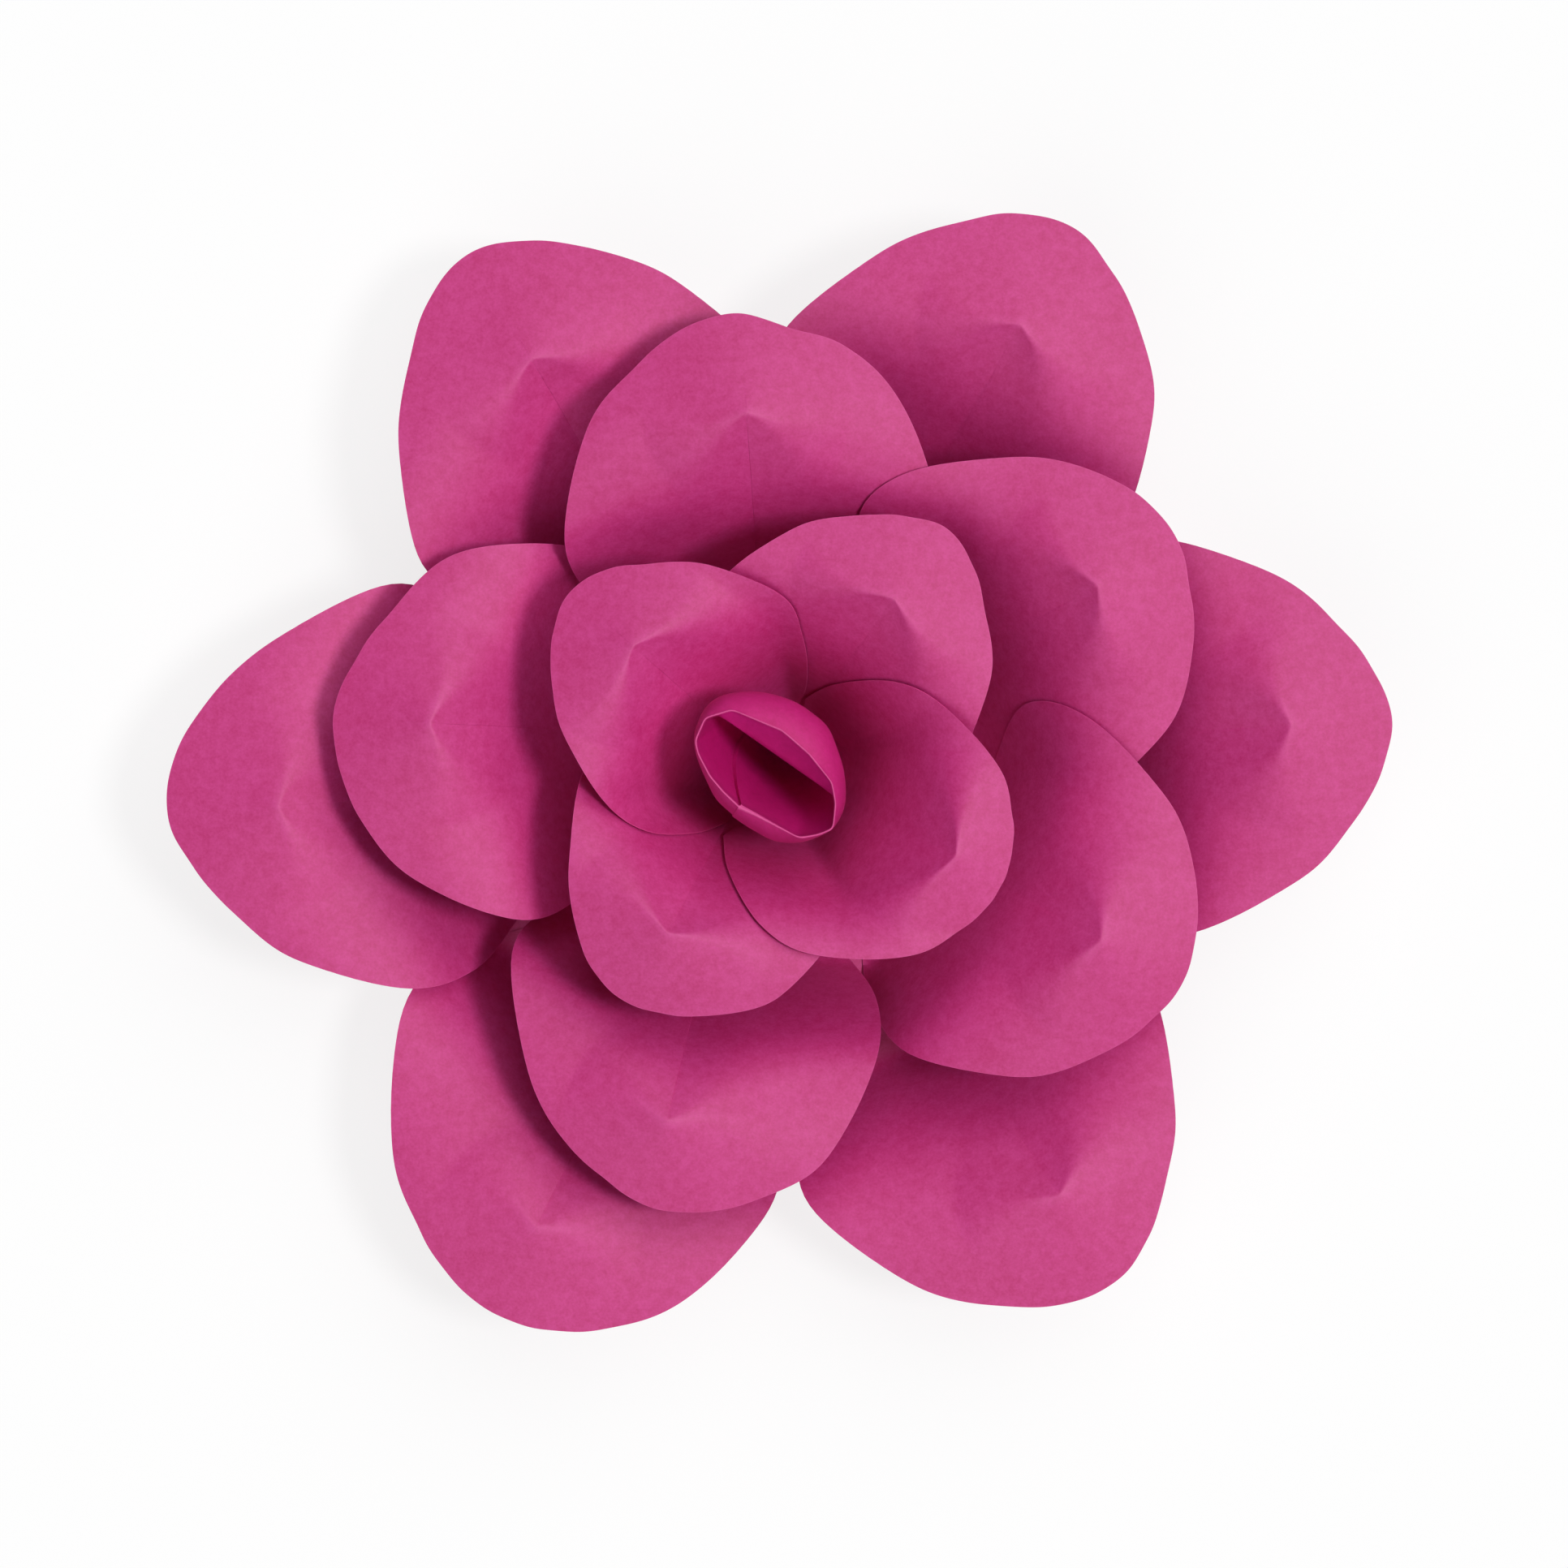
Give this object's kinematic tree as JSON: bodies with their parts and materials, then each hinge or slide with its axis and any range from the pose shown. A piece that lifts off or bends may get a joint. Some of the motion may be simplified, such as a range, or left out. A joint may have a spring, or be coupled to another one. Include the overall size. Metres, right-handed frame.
{
  "type": "giant paper flower",
  "caption": "Giant magenta cardstock flower: rings of broad, creased petals overlap around a rolled bud, all glued to a round backing board.",
  "frame": {"origin": "centre of the backing board's rear face", "axes": "+Z out of the flower's face, towards a viewer in front of it; +Y towards the top of the flower as it is shown; +X to the right"},
  "size_m": [0.4974, 0.4571, 0.109],
  "materials": {
    "petal_card": "matte",
    "bud_card": "matte",
    "backing_board": "matte"
  },
  "bodies": {
    "root": {"base_board": "backing_board", "outer_petal_1": "petal_card", "outer_petal_2": "petal_card", "outer_petal_3": "petal_card", "outer_petal_4": "petal_card", "outer_petal_5": "petal_card", "outer_petal_6": "petal_card", "middle_petal_1": "petal_card", "middle_petal_2": "petal_card", "middle_petal_3": "petal_card", "middle_petal_4": "petal_card", "middle_petal_5": "petal_card", "inner_petal_1": "petal_card", "inner_petal_2": "petal_card", "inner_petal_3": "petal_card", "inner_petal_4": "petal_card", "bud": "bud_card"}
  },
  "joints": []
}
